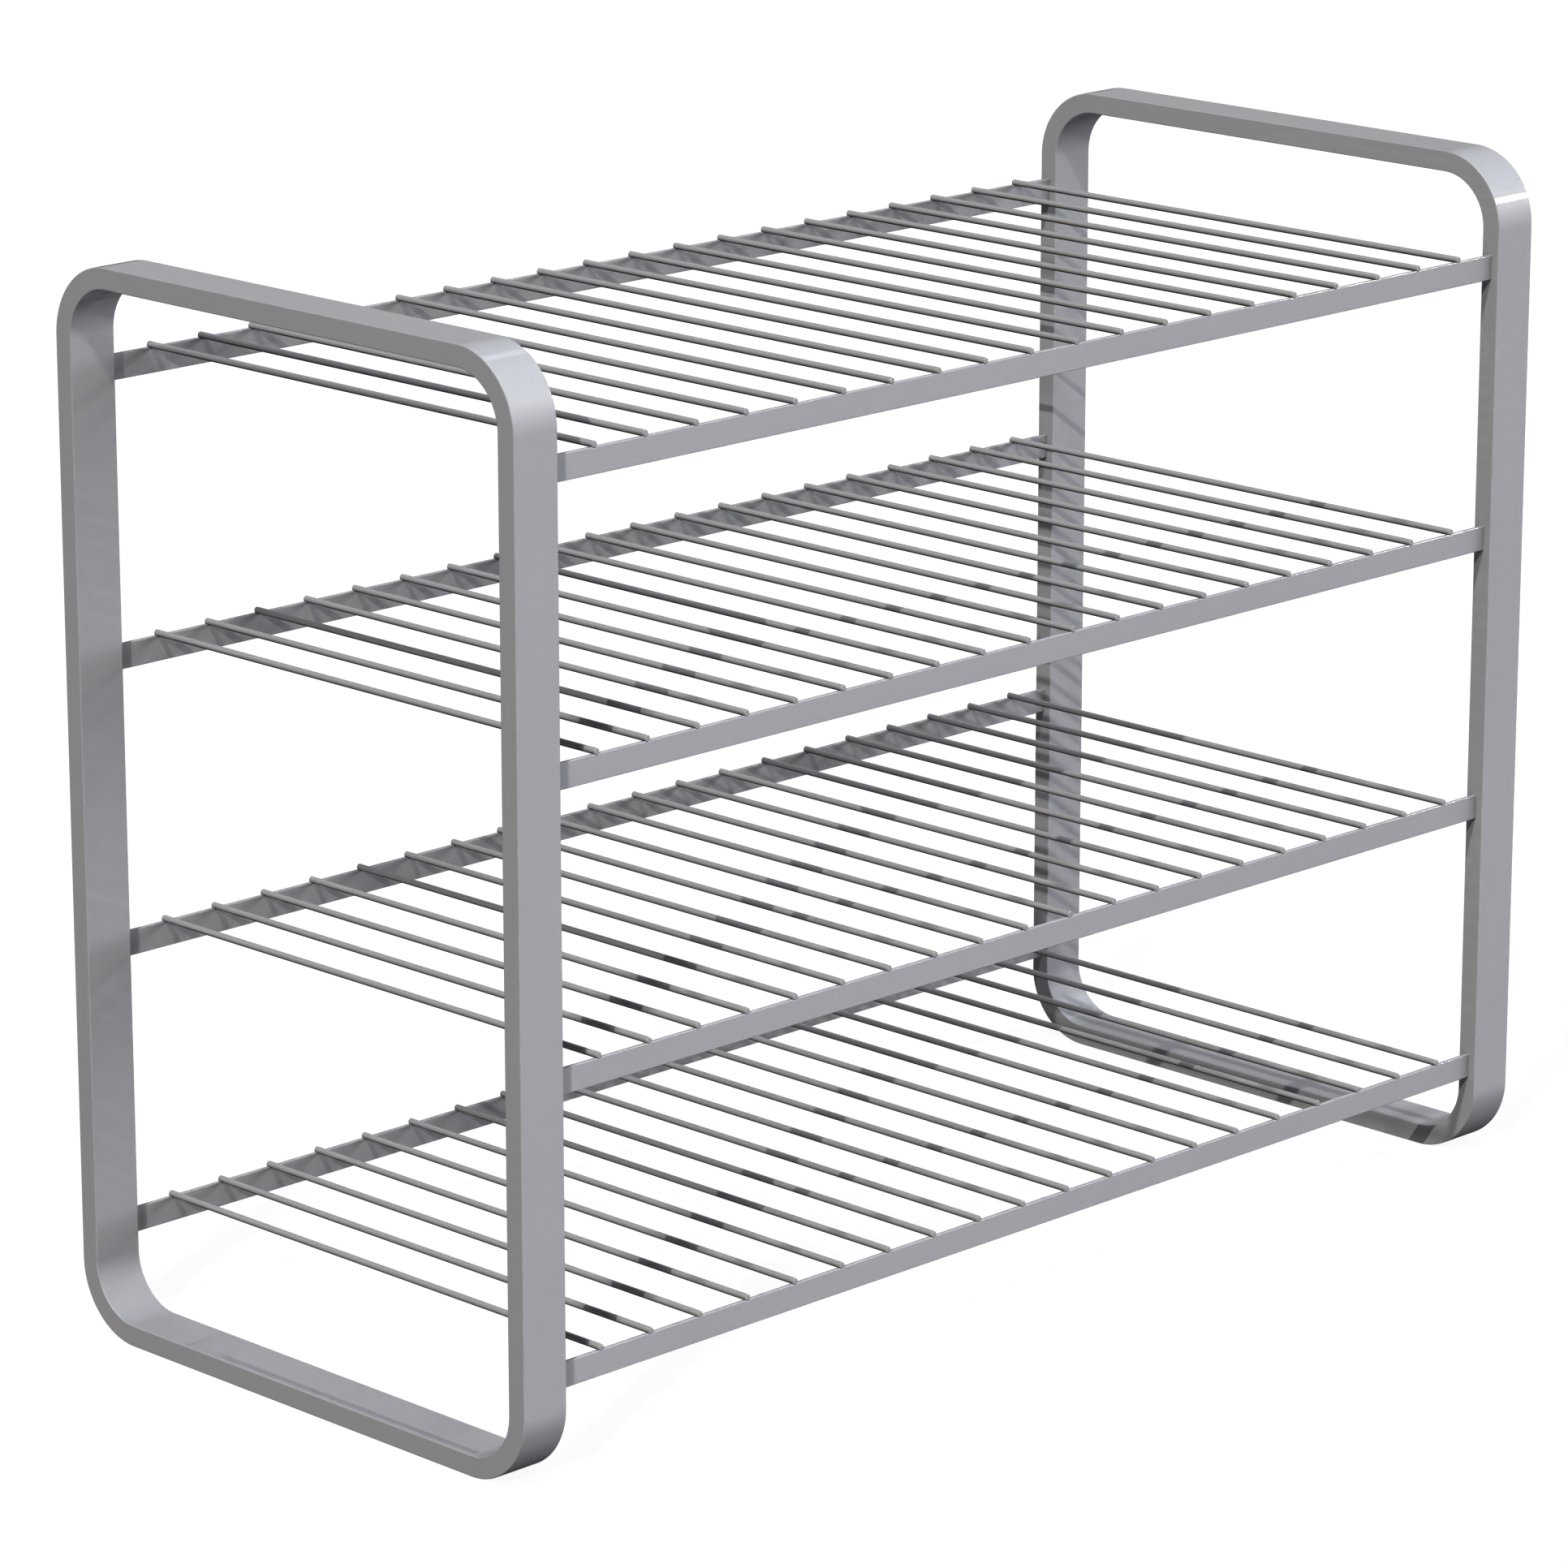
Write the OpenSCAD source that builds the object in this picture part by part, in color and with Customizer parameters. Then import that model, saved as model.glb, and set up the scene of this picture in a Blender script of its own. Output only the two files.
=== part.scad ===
// Four-tier shoe rack: two closed-loop end frames of bent rectangular tube,
// joined by a front and a back flat rail at each tier. Round wires run from
// the front rail to the back rail and lie in shallow notches in the rails' top
// edges. Everything is welded, so nothing moves.
// Millimetres, +X along the rack to the right, -Y is the front, +Z up.
// Origin: centre of the footprint, on the floor.

/* [Overall size] */
// Length over the outer faces of the two end frames
rack_length = 670; // [500:10:900]
// Depth over the outside of an end frame
rack_depth = 300; // [240:10:400]
// Height over the outside of an end frame
rack_height = 505; // [480:5:700]

/* [End frames] */
// Width of the tube, measured along the rack
tube_width = 25; // [16:1:40]
// Thickness of the tube, measured in the plane of the loop
tube_thickness = 10; // [8:1:16]
// Wall thickness of the tube
tube_wall = 1.5; // [1:0.1:2.5]
// Outside radius of the loop's four bends
bend_radius = 35; // [20:1:60]

/* [Shelf rails] */
// Floor to the lower edge of the bottom tier's rails
first_rail_z = 42; // [36:1:60]
// Rise from the bottom tier to the lower tier
rise_lower = 134; // [110:1:150]
// Rise from the lower tier to the upper tier
rise_upper = 136; // [110:1:150]
// Rise from the upper tier to the top tier
rise_top = 134; // [110:1:150]
// Height of a rail, a flat bar standing on edge
rail_height = 12; // [8:1:25]
// Thickness of a rail
rail_thickness = 2; // [1.5:0.5:4]

/* [Shelf wires] */
// Diameter of a wire
wire_diameter = 3; // [2.5:0.5:5]
// Height of a wire's axis above the rails' top edge
wire_lift = 1; // [0.6:0.1:1.2]
// End frame's inner face to the axis of the nearest wire
wire_margin = 25; // [15:1:40]

/* [Hidden] */

$fn = 96;

FRAME_COLOR = [0.62, 0.63, 0.65];
RAIL_COLOR = [0.60, 0.61, 0.63];
WIRE_COLOR = [0.58, 0.58, 0.57];

// wires on each tier, numbered from 1 at the left end frame
WIRE_COUNT = 20;

// tiers, as places in tier_z
BOTTOM = 0;
LOWER = 1;
UPPER = 2;
TOP = 3;

// sides of the rack, as signs of Y
FRONT = -1;
BACK = 1;

// lower edge of the rails of each tier
tier_z = [
    first_rail_z,
    first_rail_z + rise_lower,
    first_rail_z + rise_lower + rise_upper,
    first_rail_z + rise_lower + rise_upper + rise_top
];

// inner faces of the end frames, where the rails are welded
inner_x = rack_length / 2 - tube_width;
// the rails stand on the centre line of the tube's thickness
rail_y = rack_depth / 2 - tube_thickness / 2;
// the wires end flush with the rails' outer faces
wire_length = 2 * rail_y + rail_thickness;
wire_pitch = 2 * (inner_x - wire_margin) / (WIRE_COUNT - 1);

function wire_x(n) = -inner_x + wire_margin + (n - 1) * wire_pitch;
function wire_z(tier) = tier_z[tier] + rail_height + wire_lift;

// centred rectangle with rounded corners
module rounded_rect(width, height, radius) {
    union() {
        square([width - 2 * radius, height], center = true);
        square([width, height - 2 * radius], center = true);
        for (sx = [-1, 1], sy = [-1, 1])
            translate([sx * (width / 2 - radius), sy * (height / 2 - radius)])
                circle(r = radius);
    }
}

// the end frame's outer outline, moved inwards by inset
module frame_outline(inset) {
    rounded_rect(rack_depth - 2 * inset, rack_height - 2 * inset, bend_radius - inset);
}

// flat ring between the loop's outer and inner outlines, each moved into
// the tube's thickness by inset
module loop_ring(inset) {
    difference() {
        frame_outline(inset);
        frame_outline(tube_thickness - inset);
    }
}

// one end frame: a closed loop of hollow rectangular tube
module end_frame(left_face_x) {
    translate([left_face_x, 0, rack_height / 2])
        rotate([90, 0, 90])
            difference() {
                linear_extrude(height = tube_width) loop_ring(0);
                // the hollow inside the tube
                translate([0, 0, tube_wall])
                    linear_extrude(height = tube_width - 2 * tube_wall) loop_ring(tube_wall);
            }
}

// round rod on the axis of wire n, running forwards from back_y
module rod(tier, n, back_y, length) {
    translate([wire_x(n), back_y, wire_z(tier)])
        rotate([90, 0, 0]) cylinder(d = wire_diameter, h = length);
}

// one rail: a flat bar on edge between the end frames, with a round-bottomed
// notch in its top edge under every wire
module rail(tier, side) {
    difference() {
        translate([-inner_x, side * rail_y - rail_thickness / 2, tier_z[tier]])
            cube([2 * inner_x, rail_thickness, rail_height]);
        // each notch cutter passes both faces of the rail
        for (n = [1 : WIRE_COUNT])
            rod(tier, n, side * rail_y + rail_thickness, 2 * rail_thickness);
    }
}

// wires n and n + 1 of a tier, two separate rods
module wire_pair(tier, n) {
    rod(tier, n, wire_length / 2, wire_length);
    rod(tier, n + 1, wire_length / 2, wire_length);
}

// ---- end frames ----
module left_end_frame() { color(FRAME_COLOR) end_frame(-rack_length / 2); }
module right_end_frame() { color(FRAME_COLOR) end_frame(inner_x); }

// ---- rails ----
module top_front_rail() { color(RAIL_COLOR) rail(TOP, FRONT); }
module top_back_rail() { color(RAIL_COLOR) rail(TOP, BACK); }
module upper_front_rail() { color(RAIL_COLOR) rail(UPPER, FRONT); }
module upper_back_rail() { color(RAIL_COLOR) rail(UPPER, BACK); }
module lower_front_rail() { color(RAIL_COLOR) rail(LOWER, FRONT); }
module lower_back_rail() { color(RAIL_COLOR) rail(LOWER, BACK); }
module bottom_front_rail() { color(RAIL_COLOR) rail(BOTTOM, FRONT); }
module bottom_back_rail() { color(RAIL_COLOR) rail(BOTTOM, BACK); }

// ---- wires, in pairs ----
module top_wires_01_02() { color(WIRE_COLOR) wire_pair(TOP, 1); }
module top_wires_03_04() { color(WIRE_COLOR) wire_pair(TOP, 3); }
module top_wires_05_06() { color(WIRE_COLOR) wire_pair(TOP, 5); }
module top_wires_07_08() { color(WIRE_COLOR) wire_pair(TOP, 7); }
module top_wires_09_10() { color(WIRE_COLOR) wire_pair(TOP, 9); }
module top_wires_11_12() { color(WIRE_COLOR) wire_pair(TOP, 11); }
module top_wires_13_14() { color(WIRE_COLOR) wire_pair(TOP, 13); }
module top_wires_15_16() { color(WIRE_COLOR) wire_pair(TOP, 15); }
module top_wires_17_18() { color(WIRE_COLOR) wire_pair(TOP, 17); }
module top_wires_19_20() { color(WIRE_COLOR) wire_pair(TOP, 19); }
module upper_wires_01_02() { color(WIRE_COLOR) wire_pair(UPPER, 1); }
module upper_wires_03_04() { color(WIRE_COLOR) wire_pair(UPPER, 3); }
module upper_wires_05_06() { color(WIRE_COLOR) wire_pair(UPPER, 5); }
module upper_wires_07_08() { color(WIRE_COLOR) wire_pair(UPPER, 7); }
module upper_wires_09_10() { color(WIRE_COLOR) wire_pair(UPPER, 9); }
module upper_wires_11_12() { color(WIRE_COLOR) wire_pair(UPPER, 11); }
module upper_wires_13_14() { color(WIRE_COLOR) wire_pair(UPPER, 13); }
module upper_wires_15_16() { color(WIRE_COLOR) wire_pair(UPPER, 15); }
module upper_wires_17_18() { color(WIRE_COLOR) wire_pair(UPPER, 17); }
module upper_wires_19_20() { color(WIRE_COLOR) wire_pair(UPPER, 19); }
module lower_wires_01_02() { color(WIRE_COLOR) wire_pair(LOWER, 1); }
module lower_wires_03_04() { color(WIRE_COLOR) wire_pair(LOWER, 3); }
module lower_wires_05_06() { color(WIRE_COLOR) wire_pair(LOWER, 5); }
module lower_wires_07_08() { color(WIRE_COLOR) wire_pair(LOWER, 7); }
module lower_wires_09_10() { color(WIRE_COLOR) wire_pair(LOWER, 9); }
module lower_wires_11_12() { color(WIRE_COLOR) wire_pair(LOWER, 11); }
module lower_wires_13_14() { color(WIRE_COLOR) wire_pair(LOWER, 13); }
module lower_wires_15_16() { color(WIRE_COLOR) wire_pair(LOWER, 15); }
module lower_wires_17_18() { color(WIRE_COLOR) wire_pair(LOWER, 17); }
module lower_wires_19_20() { color(WIRE_COLOR) wire_pair(LOWER, 19); }
module bottom_wires_01_02() { color(WIRE_COLOR) wire_pair(BOTTOM, 1); }
module bottom_wires_03_04() { color(WIRE_COLOR) wire_pair(BOTTOM, 3); }
module bottom_wires_05_06() { color(WIRE_COLOR) wire_pair(BOTTOM, 5); }
module bottom_wires_07_08() { color(WIRE_COLOR) wire_pair(BOTTOM, 7); }
module bottom_wires_09_10() { color(WIRE_COLOR) wire_pair(BOTTOM, 9); }
module bottom_wires_11_12() { color(WIRE_COLOR) wire_pair(BOTTOM, 11); }
module bottom_wires_13_14() { color(WIRE_COLOR) wire_pair(BOTTOM, 13); }
module bottom_wires_15_16() { color(WIRE_COLOR) wire_pair(BOTTOM, 15); }
module bottom_wires_17_18() { color(WIRE_COLOR) wire_pair(BOTTOM, 17); }
module bottom_wires_19_20() { color(WIRE_COLOR) wire_pair(BOTTOM, 19); }

left_end_frame();
right_end_frame();
top_front_rail();
top_back_rail();
upper_front_rail();
upper_back_rail();
lower_front_rail();
lower_back_rail();
bottom_front_rail();
bottom_back_rail();
top_wires_01_02();
top_wires_03_04();
top_wires_05_06();
top_wires_07_08();
top_wires_09_10();
top_wires_11_12();
top_wires_13_14();
top_wires_15_16();
top_wires_17_18();
top_wires_19_20();
upper_wires_01_02();
upper_wires_03_04();
upper_wires_05_06();
upper_wires_07_08();
upper_wires_09_10();
upper_wires_11_12();
upper_wires_13_14();
upper_wires_15_16();
upper_wires_17_18();
upper_wires_19_20();
lower_wires_01_02();
lower_wires_03_04();
lower_wires_05_06();
lower_wires_07_08();
lower_wires_09_10();
lower_wires_11_12();
lower_wires_13_14();
lower_wires_15_16();
lower_wires_17_18();
lower_wires_19_20();
bottom_wires_01_02();
bottom_wires_03_04();
bottom_wires_05_06();
bottom_wires_07_08();
bottom_wires_09_10();
bottom_wires_11_12();
bottom_wires_13_14();
bottom_wires_15_16();
bottom_wires_17_18();
bottom_wires_19_20();
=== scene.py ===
"""A four-tier rack of coated metal, standing on the floor at z = 0.

X runs left to right, Y front to back and Z up. A tube loop stands at each end, in the YZ plane.
Each tier has a front and a back rail along X, with wires along Y lying in dips in their top edges.
"""
import math

import bpy
from mathutils import Matrix, Vector


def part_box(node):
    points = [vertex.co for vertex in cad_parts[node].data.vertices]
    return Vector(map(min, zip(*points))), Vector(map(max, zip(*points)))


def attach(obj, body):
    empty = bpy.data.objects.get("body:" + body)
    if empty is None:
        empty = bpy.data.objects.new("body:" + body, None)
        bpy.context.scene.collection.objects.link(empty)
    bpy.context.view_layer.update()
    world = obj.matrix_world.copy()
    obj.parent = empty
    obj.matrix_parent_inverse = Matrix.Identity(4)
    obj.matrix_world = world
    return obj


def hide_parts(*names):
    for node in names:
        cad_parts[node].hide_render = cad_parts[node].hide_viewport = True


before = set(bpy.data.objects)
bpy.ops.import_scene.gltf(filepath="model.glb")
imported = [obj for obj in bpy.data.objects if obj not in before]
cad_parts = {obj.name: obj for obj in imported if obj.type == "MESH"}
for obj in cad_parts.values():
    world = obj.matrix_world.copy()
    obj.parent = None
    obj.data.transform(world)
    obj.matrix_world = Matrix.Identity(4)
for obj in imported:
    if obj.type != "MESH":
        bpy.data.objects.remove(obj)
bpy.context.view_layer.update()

MM = 0.001
TIERS = ("top", "upper", "lower", "bottom")
WIRES_PER_TIER = 20       # the CAD pieces hold two each

# end frames
TUBE_DEPTH = 10 * MM      # tube size from the inside of the loop to the outside
BEND_RADIUS = 35 * MM     # outer radius of the loop's corners
TUBE_EDGE = 0.5 * MM      # rounding of the tube's four long edges
TUBE_EDGE_STEPS = 5
BEND_STEPS = 32
STRAIGHT_STEPS = 12

# rails
RAIL_EDGE = 0.4 * MM      # rounding of a rail's long edges
RAIL_EDGE_STEPS = 4
DIP_HALF_STEPS = 6        # steps from the middle of a dip to its rim

# wires
WIRE_EDGE = 0.3 * MM      # rounding of a wire's cut ends
WIRE_EDGE_STEPS = 3
WIRE_SIDES = 40
WIRE_LENGTH_STEPS = 24


# ---------------------------------------------------------------- mesh helpers

def unit(vector):
    return tuple(Vector(vector).normalized())


def make_object(name, verts, faces, normals=None):
    """A smooth-shaded object, with one custom normal per vertex if they are given."""
    mesh = bpy.data.meshes.new(name)
    mesh.from_pydata(verts, [], faces)
    mesh.validate()
    mesh.update()
    obj = bpy.data.objects.new(name, mesh)
    bpy.context.scene.collection.objects.link(obj)
    for poly in mesh.polygons:
        poly.use_smooth = True
    if normals is not None:
        mesh.normals_split_custom_set_from_vertices([unit(normal) for normal in normals])
    return obj


def rounded_section(first, second, radius, steps):
    """(point, outward normal) pairs of a rectangle with rounded corners, counter-clockwise.

    first and second are the rectangle's (low, high) limits on its two axes.
    """
    low_a, high_a = first[0] + radius, first[1] - radius
    low_b, high_b = second[0] + radius, second[1] - radius
    corners = ((high_a, high_b, 0), (low_a, high_b, 90), (low_a, low_b, 180), (high_a, low_b, 270))
    section = []
    for a, b, start in corners:
        for i in range(steps + 1):
            angle = math.radians(start + 90.0 * i / steps)
            out_a, out_b = math.cos(angle), math.sin(angle)
            section.append(((a + radius * out_a, b + radius * out_b), (out_a, out_b)))
    return section


def ring_quads(ring_count, ring_size, base=0, closed=False, flip=False):
    """Quads between neighbouring rings of vertices; closed joins the last ring to the first."""
    quads = []
    for i in range(ring_count if closed else ring_count - 1):
        here = base + i * ring_size
        there = base + (i + 1) % ring_count * ring_size
        for k in range(ring_size):
            following = (k + 1) % ring_size
            quad = (here + k, there + k, there + following, here + following)
            quads.append(quad[:1] + quad[:0:-1] if flip else quad)
    return quads


# ---------------------------------------------------------------- meshes

def loop_stations(lo, hi):
    """(y, z, outward angle) of each tube section round the loop."""
    low_y, high_y = lo[1] + BEND_RADIUS, hi[1] - BEND_RADIUS
    low_z, high_z = lo[2] + BEND_RADIUS, hi[2] - BEND_RADIUS
    bends = ((high_y, high_z, 0), (low_y, high_z, 90), (low_y, low_z, 180), (high_y, low_z, 270))
    stations = []
    for i, (y, z, start) in enumerate(bends):
        for j in range(BEND_STEPS + 1):
            stations.append((y, z, math.radians(start + 90.0 * j / BEND_STEPS)))
        # the straight that follows is divided too, so that its faces stay near square
        next_y, next_z, next_start = bends[(i + 1) % 4]
        for j in range(1, STRAIGHT_STEPS):
            part = j / STRAIGHT_STEPS
            stations.append((y + (next_y - y) * part, z + (next_z - z) * part,
                             math.radians(next_start)))
    return stations


def end_frame_mesh(name, node):
    """The tube's section swept round the loop. Its first axis points outwards, its second along X."""
    lo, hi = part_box(node)
    section = rounded_section((BEND_RADIUS - TUBE_DEPTH, BEND_RADIUS), (lo[0], hi[0]),
                              TUBE_EDGE, TUBE_EDGE_STEPS)
    stations = loop_stations(lo, hi)
    verts, normals = [], []
    for y, z, angle in stations:
        out_y, out_z = math.cos(angle), math.sin(angle)
        for (reach, x), (normal_out, normal_x) in section:
            verts.append((x, y + out_y * reach, z + out_z * reach))
            normals.append((normal_x, out_y * normal_out, out_z * normal_out))
    faces = ring_quads(len(stations), len(section), closed=True)
    return make_object(name, verts, faces, normals)


def rail_mesh(name, node, wire_xs, wire_radius, wire_z):
    """A flat bar with rounded long edges. Its top dips under each wire to the wire's radius."""
    lo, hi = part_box(node)
    dip_half = math.sqrt(max(wire_radius ** 2 - (wire_z - hi[2]) ** 2, 0.0))
    stations = [(lo[0], hi[2])]   # x and top edge
    for wire_x in wire_xs:
        for i in range(-DIP_HALF_STEPS, DIP_HALF_STEPS + 1):
            offset = dip_half * math.sin(math.radians(90.0 / DIP_HALF_STEPS * i))
            stations.append((wire_x + offset, wire_z - math.sqrt(wire_radius ** 2 - offset ** 2)))
    stations.append((hi[0], hi[2]))

    verts, normals = [], []
    for x, top in stations:
        section = rounded_section((lo[1], hi[1]), (lo[2], top), RAIL_EDGE, RAIL_EDGE_STEPS)
        for (y, z), (normal_y, normal_z) in section:
            verts.append((x, y, z))
            normals.append((0.0, normal_y, normal_z))
    size = len(section)
    faces = ring_quads(len(stations), size, flip=True)
    faces.append(tuple(reversed(range(size))))
    faces.append(tuple(range(len(verts) - size, len(verts))))
    obj = make_object(name, verts, faces)
    set_rail_normals(obj.data, normals)
    return obj


def set_rail_normals(mesh, normals):
    """Each corner takes its section's true normal; the two flat ends keep their own."""
    corner_normals = []
    for poly in mesh.polygons:
        flat_end = poly.loop_total > 4
        for vertex in poly.vertices:
            corner_normals.append(tuple(poly.normal) if flat_end else unit(normals[vertex]))
    mesh.normals_split_custom_set(corner_normals)


def wire_rings(front, back, radius):
    """(y, ring radius, normal along Y, normal outwards) from a wire's front end to its back end."""
    front_y, back_y = front + WIRE_EDGE, back - WIRE_EDGE
    flat = radius - WIRE_EDGE
    quarter = []
    for i in range(WIRE_EDGE_STEPS + 1):
        angle = math.radians(90.0 * i / WIRE_EDGE_STEPS)
        quarter.append((math.cos(angle), math.sin(angle)))
    rings = [(front_y - WIRE_EDGE * c, flat + WIRE_EDGE * s, -c, s) for c, s in quarter]
    for i in range(1, WIRE_LENGTH_STEPS):
        rings.append((front_y + (back_y - front_y) * i / WIRE_LENGTH_STEPS, radius, 0.0, 1.0))
    rings += [(back_y + WIRE_EDGE * s, flat + WIRE_EDGE * c, s, c) for c, s in quarter]
    return rings


def wires_mesh(name, node, wire_xs, wire_radius, wire_z):
    """Round rods along Y with softly rounded cut ends. Each rod is its own closed shell."""
    lo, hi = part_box(node)
    rings = wire_rings(lo[1], hi[1], wire_radius)
    verts, normals, faces = [], [], []
    for wire_x in wire_xs:
        base = len(verts)
        for y, radius, normal_y, normal_out in rings:
            for k in range(WIRE_SIDES):
                angle = 2 * math.pi * k / WIRE_SIDES
                x, z = math.cos(angle), math.sin(angle)
                verts.append((wire_x + radius * x, y, wire_z + radius * z))
                normals.append((normal_out * x, normal_y, normal_out * z))
        faces += ring_quads(len(rings), WIRE_SIDES, base)
        for ring, facing in ((0, -1.0), (len(rings) - 1, 1.0)):
            centre = len(verts)
            verts.append((wire_x, rings[ring][0], wire_z))
            normals.append((0.0, facing, 0.0))
            first = base + ring * WIRE_SIDES
            for k in range(WIRE_SIDES):
                a, b = first + k, first + (k + 1) % WIRE_SIDES
                faces.append((centre, a, b) if facing < 0 else (centre, b, a))
    return make_object(name, verts, faces, normals)


# ---------------------------------------------------------------- shader nodes

class Shader:
    """Builds the node tree of a material or a world."""

    def __init__(self, owner):
        owner.use_nodes = True
        self.tree = owner.node_tree
        self.tree.nodes.clear()

    def add(self, kind, inputs=None, **settings):
        """Add a node. Each input, by name or index, is a value or a socket to link from."""
        node = self.tree.nodes.new("ShaderNode" + kind)
        for setting, value in settings.items():
            setattr(node, setting, value)
        for key, value in (inputs or {}).items():
            if isinstance(value, bpy.types.NodeSocket):
                self.tree.links.new(value, node.inputs[key])
            else:
                node.inputs[key].default_value = value
        return node

    def maths(self, operation, first, second, clamp=False):
        node = self.add("Math", {0: first, 1: second}, operation=operation, use_clamp=clamp)
        return node.outputs[0]

    def weighted_sum(self, terms, clamp=False):
        """Sum of (socket, weight) terms, added from the last to the first."""
        (socket, weight), *rest = terms
        term = self.maths("MULTIPLY", socket, weight)
        if not rest:
            return term
        return self.maths("ADD", term, self.weighted_sum(rest), clamp)

    def noise(self, vector, scale, detail, roughness):
        node = self.add("TexNoise", {"Scale": scale, "Detail": detail, "Roughness": roughness,
                                     "Vector": vector})
        return node.outputs["Fac"]

    def soft_only(self, path, strength):
        """Strength for every ray, but weaker in reflections, so the coat mirrors a dark studio."""
        node = self.add("Math", {0: path.outputs["Is Glossy Ray"], 1: -0.7 * strength, 2: strength},
                        name="soft_only", operation="MULTIPLY_ADD")
        return node.outputs[0]

    def by_camera_ray(self, path, unseen, seen):
        """One shader for what the camera sees directly, another for every other ray."""
        node = self.add("MixShader", {0: path.outputs["Is Camera Ray"],
                                      1: unseen.outputs[0], 2: seen.outputs[0]})
        return node.outputs[0]


# ---------------------------------------------------------------- coating

SHADE_SPREAD = 0.045               # base colour varies this much darker and lighter
WORN_COLOUR = (0.74, 0.74, 0.73, 1.0)


def worn_edges(shader, geometry, position, wear):
    """Broken patches along the edges, found by how far a rounded normal leaves the true one."""
    bevel = shader.add("Bevel", {"Radius": 0.8 * MM}, samples=4)
    dot = shader.add("VectorMath", {0: bevel.outputs["Normal"], 1: geometry.outputs["Normal"]},
                     operation="DOT_PRODUCT")
    turned = shader.maths("SUBTRACT", 1.0, dot.outputs["Value"])
    edge = shader.maths("MULTIPLY", turned, 6.0, clamp=True)
    patch = shader.noise(position, scale=140.0, detail=5.0, roughness=0.65)
    broken = shader.maths("MULTIPLY", shader.maths("SUBTRACT", patch, 0.42), 5.0, clamp=True)
    return shader.maths("MULTIPLY", shader.maths("MULTIPLY", edge, broken), wear, clamp=True)


def coated_metal(name, colour, roughness, peel, wear, seed, drawn_axes, under=1.0):
    """Satin silver-grey coating: slow shade drift, fine flake, faint drawing lines of the metal
    under it, orange-peel bump, brighter, worn edges, and painted shade on faces that point down.

    peel is the height of the orange peel in metres, wear the strength of the worn edges, seed
    shifts the textures, drawn_axes are the axes the drawing lines follow, and under is how dark
    the painted shade makes faces that point down, 1 for no painted shade.
    """
    mat = bpy.data.materials.new(name)
    shader = Shader(mat)
    coord = shader.add("TexCoord")
    shift = shader.add("Mapping", {"Location": (seed * 0.37, seed * 0.11, seed * 0.73),
                                   "Vector": coord.outputs["Object"]})
    position = shift.outputs["Vector"]

    # drawing lines: noise stretched along the piece
    stretch = shader.add("Mapping", {
        "Scale": tuple(0.02 if axis in drawn_axes else 1.0 for axis in range(3)),
        "Vector": position})
    lines = shader.noise(stretch.outputs["Vector"], scale=1500.0, detail=3.0, roughness=0.6)
    drift = shader.noise(position, scale=9.0, detail=3.0, roughness=0.55)
    cloud = shader.noise(position, scale=60.0, detail=4.0, roughness=0.6)
    cells = shader.add("TexVoronoi", {"Scale": 2600.0, "Vector": position})
    flake = shader.add("SeparateColor", {0: cells.outputs["Color"]}).outputs[0]
    geometry = shader.add("NewGeometry")
    worn = worn_edges(shader, geometry, position, wear)

    # colour: base shade, then worn edges, then painted shade darkening faces that point down
    variation = shader.weighted_sum([(drift, 0.5), (cloud, 0.2), (flake, 0.12), (lines, 0.12)],
                                    clamp=True)
    base = shader.add("Mix", {"A": (*[c * (1 - SHADE_SPREAD) for c in colour], 1.0),
                              "B": (*[c * (1 + SHADE_SPREAD) for c in colour], 1.0),
                              "Factor": variation}, data_type="RGBA")
    bright = shader.add("Mix", {"A": base.outputs["Result"], "B": WORN_COLOUR, "Factor": worn},
                        data_type="RGBA")
    # painted shade: faces that point down get a darker base colour, down to under times the colour,
    # standing in for the shade underneath
    normal = shader.add("SeparateXYZ", {0: geometry.outputs["Normal"]})
    painted_underside_shade = shader.add("MapRange", {"From Min": -0.72, "From Max": -0.32,
                                   "To Min": under, "To Max": 1.0,
                                   "Value": normal.outputs["Z"]}, interpolation_type="SMOOTHSTEP")
    shade = shader.add("VectorMath", {0: bright.outputs["Result"],
                                      "Scale": painted_underside_shade.outputs["Result"]}, operation="SCALE")

    rough_variation = shader.weighted_sum([(cloud, 0.06), (flake, 0.03), (worn, -0.10)])
    rough = shader.maths("ADD", roughness - 0.05, rough_variation, clamp=True)

    # bump height in metres
    orange_peel = shader.noise(position, scale=650.0, detail=2.0, roughness=0.45)
    height = shader.weighted_sum([(orange_peel, peel), (flake, peel * 0.06), (lines, peel * 0.25)])
    bump = shader.add("Bump", {"Strength": 1.0, "Distance": 1.0, "Height": height})

    bsdf = shader.add("BsdfPrincipled", {
        "Base Color": shade.outputs["Vector"],
        "Roughness": rough,
        "Normal": bump.outputs["Normal"],
        "Metallic": 0.0,
        "Specular IOR Level": 0.25,
        "Coat Weight": 1.0,
        "Coat Roughness": 0.015,
        "Coat IOR": 1.5,
    })
    shader.add("OutputMaterial", {"Surface": bsdf.outputs["BSDF"]})
    return mat


FRAME_MAT = coated_metal("frame_coating", colour=(0.40, 0.405, 0.42), roughness=0.40,
                         peel=12e-6, wear=0.22, seed=1.0, drawn_axes=(1, 2))
RAIL_MAT = coated_metal("rail_coating", colour=(0.40, 0.405, 0.42), roughness=0.40,
                        peel=10e-6, wear=0.22, seed=2.0, drawn_axes=(0,))
# painted shade: the wires' down-facing sides are darkened to 0.12 of their colour, standing in for
# the shade under them
WIRE_MAT = coated_metal("wire_coating", colour=(0.375, 0.377, 0.384), roughness=0.42,
                        peel=8e-6, wear=0.15, seed=3.0, drawn_axes=(1,), under=0.12)


# ---------------------------------------------------------------- pieces

def place(obj, node, mat):
    obj.data.materials.append(mat)
    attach(obj, "root")
    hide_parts(node)


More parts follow.
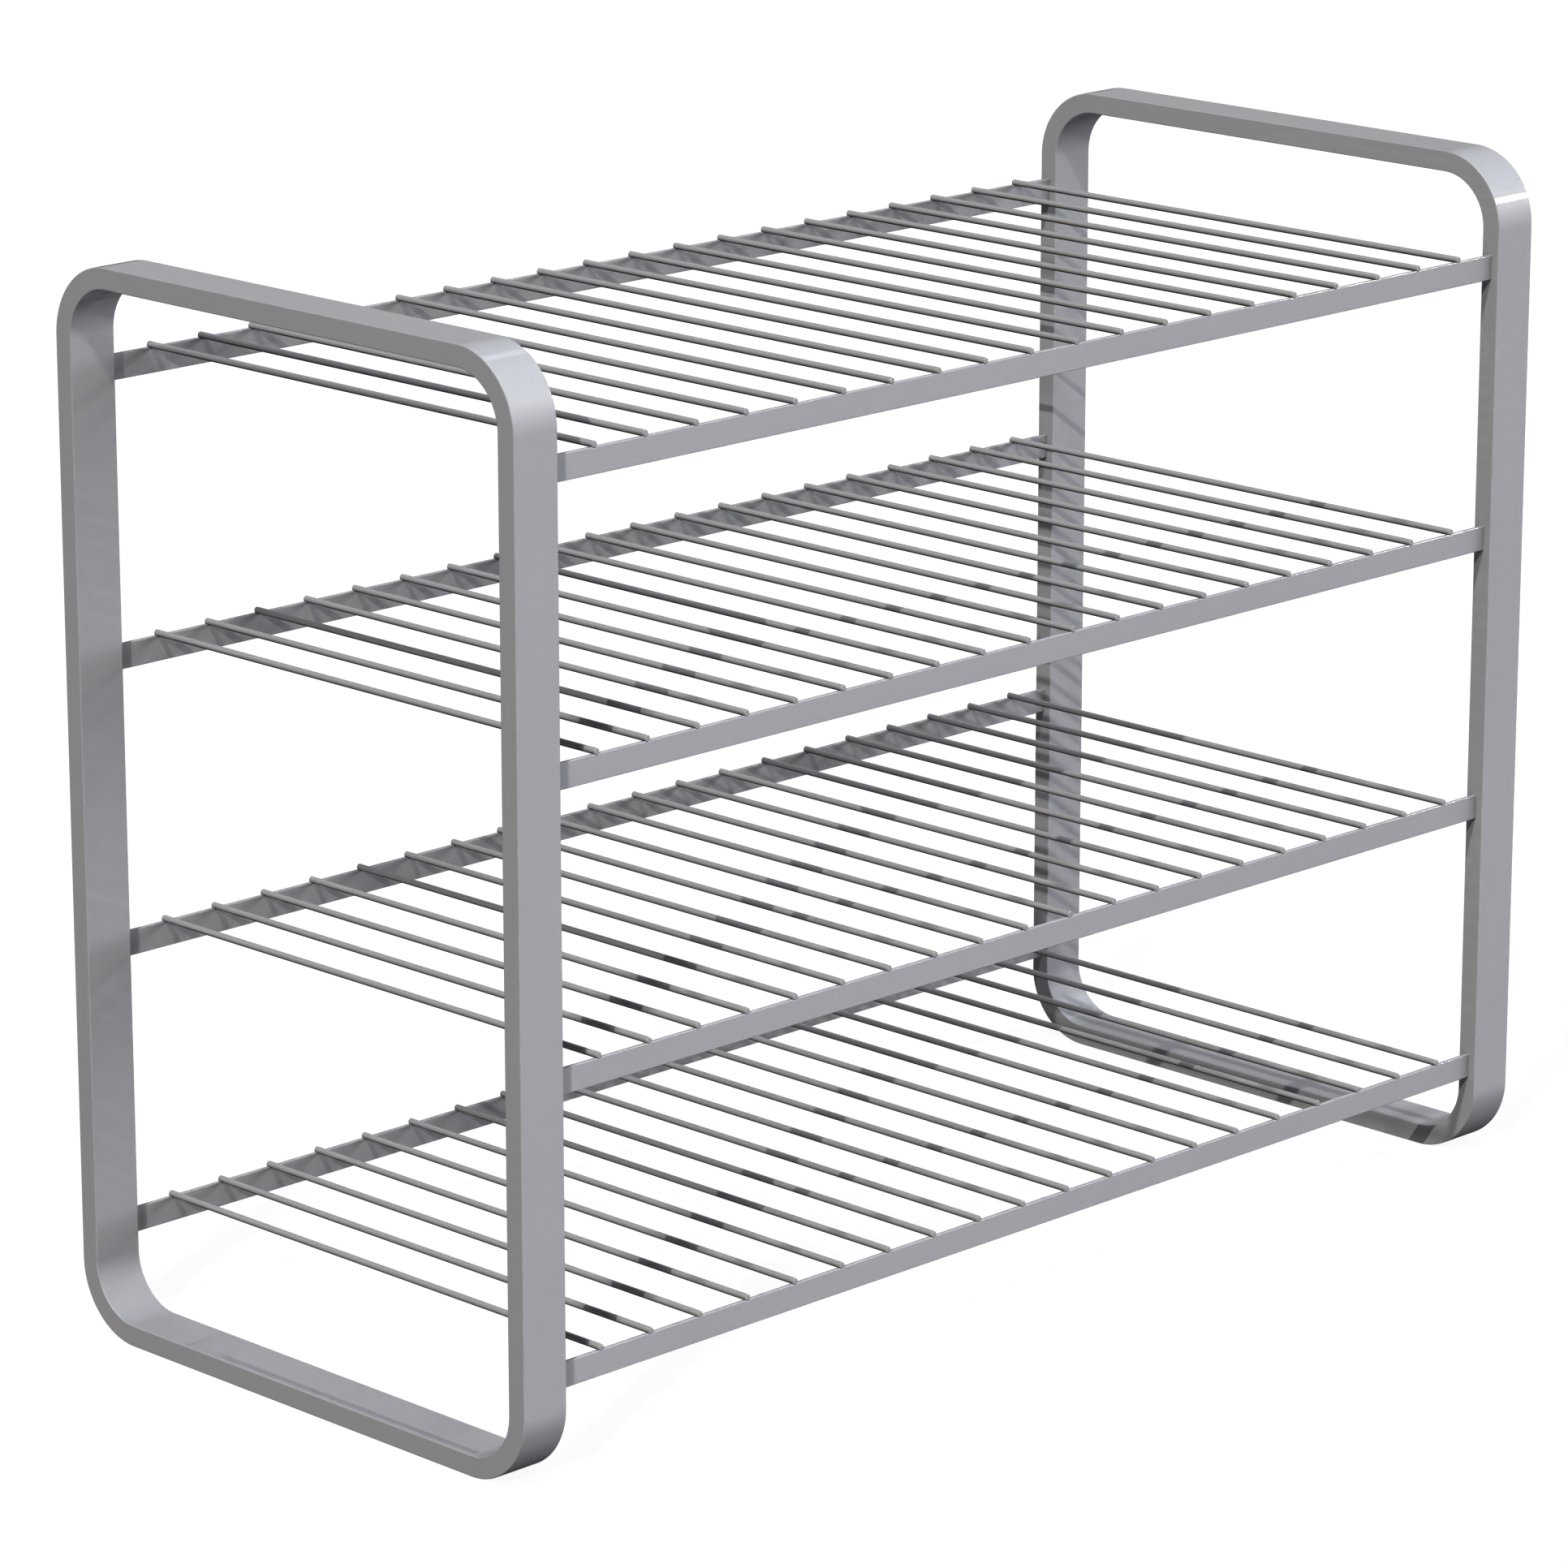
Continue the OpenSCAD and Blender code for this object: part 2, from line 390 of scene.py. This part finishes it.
def build_tier(tier):
    """The tier's wires, pair by pair, then its two rails with a dip under every wire."""
    wire_xs = []
    for k in range(1, WIRES_PER_TIER, 2):
        pair = f"{k:02d}_{k + 1:02d}"
        node = f"{tier}_wires_{pair}"
        lo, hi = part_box(node)
        radius = 0.5 * (hi[2] - lo[2])
        wire_z = 0.5 * (hi[2] + lo[2])
        pair_xs = [lo[0] + radius, hi[0] - radius]
        wire_xs += pair_xs
        rods = wires_mesh(f"{tier}_wire_rods_{pair}", node, pair_xs, radius, wire_z)
        place(rods, node, WIRE_MAT)
    for side in ("front", "back"):
        node = f"{tier}_{side}_rail"
        place(rail_mesh(node + "_bar", node, wire_xs, radius, wire_z), node, RAIL_MAT)


for side in ("left", "right"):
    node = side + "_end_frame"
    place(end_frame_mesh(node + "_tube", node), node, FRAME_MAT)
for tier in TIERS:
    build_tier(tier)


# ---------------------------------------------------------------- floor and world

FLOOR_HALF = 30.0
FLOOR_BOUNCE = 0.543      # light the floor gives off to the rack
AMBIENT = 0.525           # light from the world all round
BACKDROP = 0.411          # extra light of the backdrop in the coat's reflections
WHITE = (1, 1, 1, 1)


def floor_material():
    """White to the camera; to other rays dark, with a soft glow."""
    mat = bpy.data.materials.new("pale_floor")
    shader = Shader(mat)
    glow = shader.add("Emission", {"Color": WHITE, "Strength": 0.95})
    lit = shader.add("BsdfDiffuse", {"Color": (0.045, 0.045, 0.045, 1)})
    seen = shader.add("AddShader", {0: glow.outputs[0], 1: lit.outputs[0]})
    dark = shader.add("BsdfDiffuse", {"Color": (0.05, 0.05, 0.05, 1)})
    path = shader.add("LightPath")
    bounce = shader.add("Emission", {"Color": (1.0, 0.974, 0.976, 1),
                                     "Strength": shader.soft_only(path, FLOOR_BOUNCE)},
                        name="bounce")
    unseen = shader.add("AddShader", {0: dark.outputs[0], 1: bounce.outputs[0]})
    shader.add("OutputMaterial", {"Surface": shader.by_camera_ray(path, unseen, seen)})
    mat.cycles.emission_sampling = "NONE"
    return mat


def build_floor():
    half = FLOOR_HALF
    corners = [(-half, -half, 0), (half, -half, 0), (half, half, 0), (-half, half, 0)]
    floor = make_object("floor", corners, [(0, 1, 2, 3)])
    floor.data.polygons[0].use_smooth = False
    floor.data.materials.append(floor_material())


def build_world():
    """White to the camera; to other rays a warm fill."""
    world = bpy.data.worlds.new("studio")
    bpy.context.scene.world = world
    shader = Shader(world)
    seen = shader.add("Background", {"Color": WHITE, "Strength": 1.0})
    path = shader.add("LightPath")
    # a pale backdrop to the back right, away from the camera, seen only in reflections
    coord = shader.add("TexCoord")
    facing = shader.add("VectorMath", {0: coord.outputs["Generated"], 1: (0.707, 0.707, 0.0)},
                        operation="DOT_PRODUCT")
    fade = shader.add("MapRange", {"From Min": 0.50, "From Max": 0.92,
                                   "Value": facing.outputs["Value"]},
                      interpolation_type="SMOOTHSTEP")
    mirrored = shader.maths("MULTIPLY", fade.outputs["Result"], path.outputs["Is Glossy Ray"])
    level = shader.add("Math", {0: mirrored, 1: BACKDROP, 2: shader.soft_only(path, AMBIENT)},
                       name="backdrop", operation="MULTIPLY_ADD")
    fill = shader.add("Background", {"Color": (1.0, 0.974, 0.95, 1), "Strength": level.outputs[0]})
    shader.add("OutputWorld", {"Surface": shader.by_camera_ray(path, fill, seen)})


build_floor()
build_world()


# ---------------------------------------------------------------- lights

# name, direction to the light, strength, colour, angular size in degrees, seen in the coat
LIGHTS = (
    ("key_low_left", (-1.444, -0.66, 1.0), 1.75, (1.0, 0.97, 0.90), 0.3, True),
    ("key_high_left", (-0.52, -0.245, 1.0), 2.39, (1.0, 0.96, 0.94), 5.0, True),
    ("strip_right", (0.768, -0.5427, 0.339), 0.54, (1.0, 0.983, 0.78), 5.2, True),
    ("back_right", (0.664, 0.226, 0.712), 0.012, (1.0, 1.0, 1.0), 8.0, True),
    ("front_fill", (0.0, -1.0, 0.25), 0.595, (0.90, 1.0, 0.785), 40.0, False),
    ("front_right_fill", (0.34, -0.94, 0.05), 0.563, (0.858, 0.753, 1.0), 30.0, False),
    ("right_front_fill", (0.70, -0.70, 0.20), 1.473, (0.885, 0.845, 1.0), 40.0, False),
    ("right_fill", (0.95, -0.30, 0.10), 2.05, (0.863, 1.0, 0.996), 30.0, False),
    ("top_fill", (0.0, 0.0, 1.0), 0.43, (0.07, 0.44, 1.0), 60.0, False),
    ("back_fill", (0.30, 0.95, 0.09), 1.9, (0.95, 0.98, 1.0), 26.0, False),
)


def add_sun(name, to_light, strength, colour, spread, mirrored):
    data = bpy.data.lights.new(name, "SUN")
    data.energy = strength
    data.color = colour
    data.angle = math.radians(spread)
    obj = bpy.data.objects.new(name, data)
    bpy.context.scene.collection.objects.link(obj)
    obj.rotation_euler = Vector(to_light).to_track_quat("Z", "Y").to_euler()
    obj.visible_glossy = mirrored


for light in LIGHTS:
    add_sun(*light)


# ---------------------------------------------------------------- camera and view

CAMERA_PLACE = (-2.165137, -2.138639, 1.072405)
CAMERA_HEADING = math.radians(45.003)     # from +Y towards +X
CAMERA_DIP = math.radians(15.545)         # below the horizon
FOCAL_LENGTH = 152.912422                 # millimetres, on a sensor 36 wide


def build_camera():
    data = bpy.data.cameras.new("photo_view")
    data.sensor_fit = "HORIZONTAL"
    data.sensor_width = 36.0
    data.lens = FOCAL_LENGTH
    data.clip_start = 0.05
    data.clip_end = 200.0
    camera = bpy.data.objects.new("photo_view", data)
    bpy.context.scene.collection.objects.link(camera)
    look = Vector((math.sin(CAMERA_HEADING) * math.cos(CAMERA_DIP),
                   math.cos(CAMERA_HEADING) * math.cos(CAMERA_DIP),
                   -math.sin(CAMERA_DIP)))
    right = look.cross(Vector((0, 0, 1))).normalized()
    up = right.cross(look)
    turn = Matrix((right, up, -look)).transposed().to_4x4()
    camera.matrix_world = Matrix.Translation(Vector(CAMERA_PLACE)) @ turn
    bpy.context.scene.camera = camera


build_camera()

view = bpy.context.scene.view_settings
view.view_transform = "Raw"
view.look = "None"
view.exposure = 0.0
view.gamma = 1.0
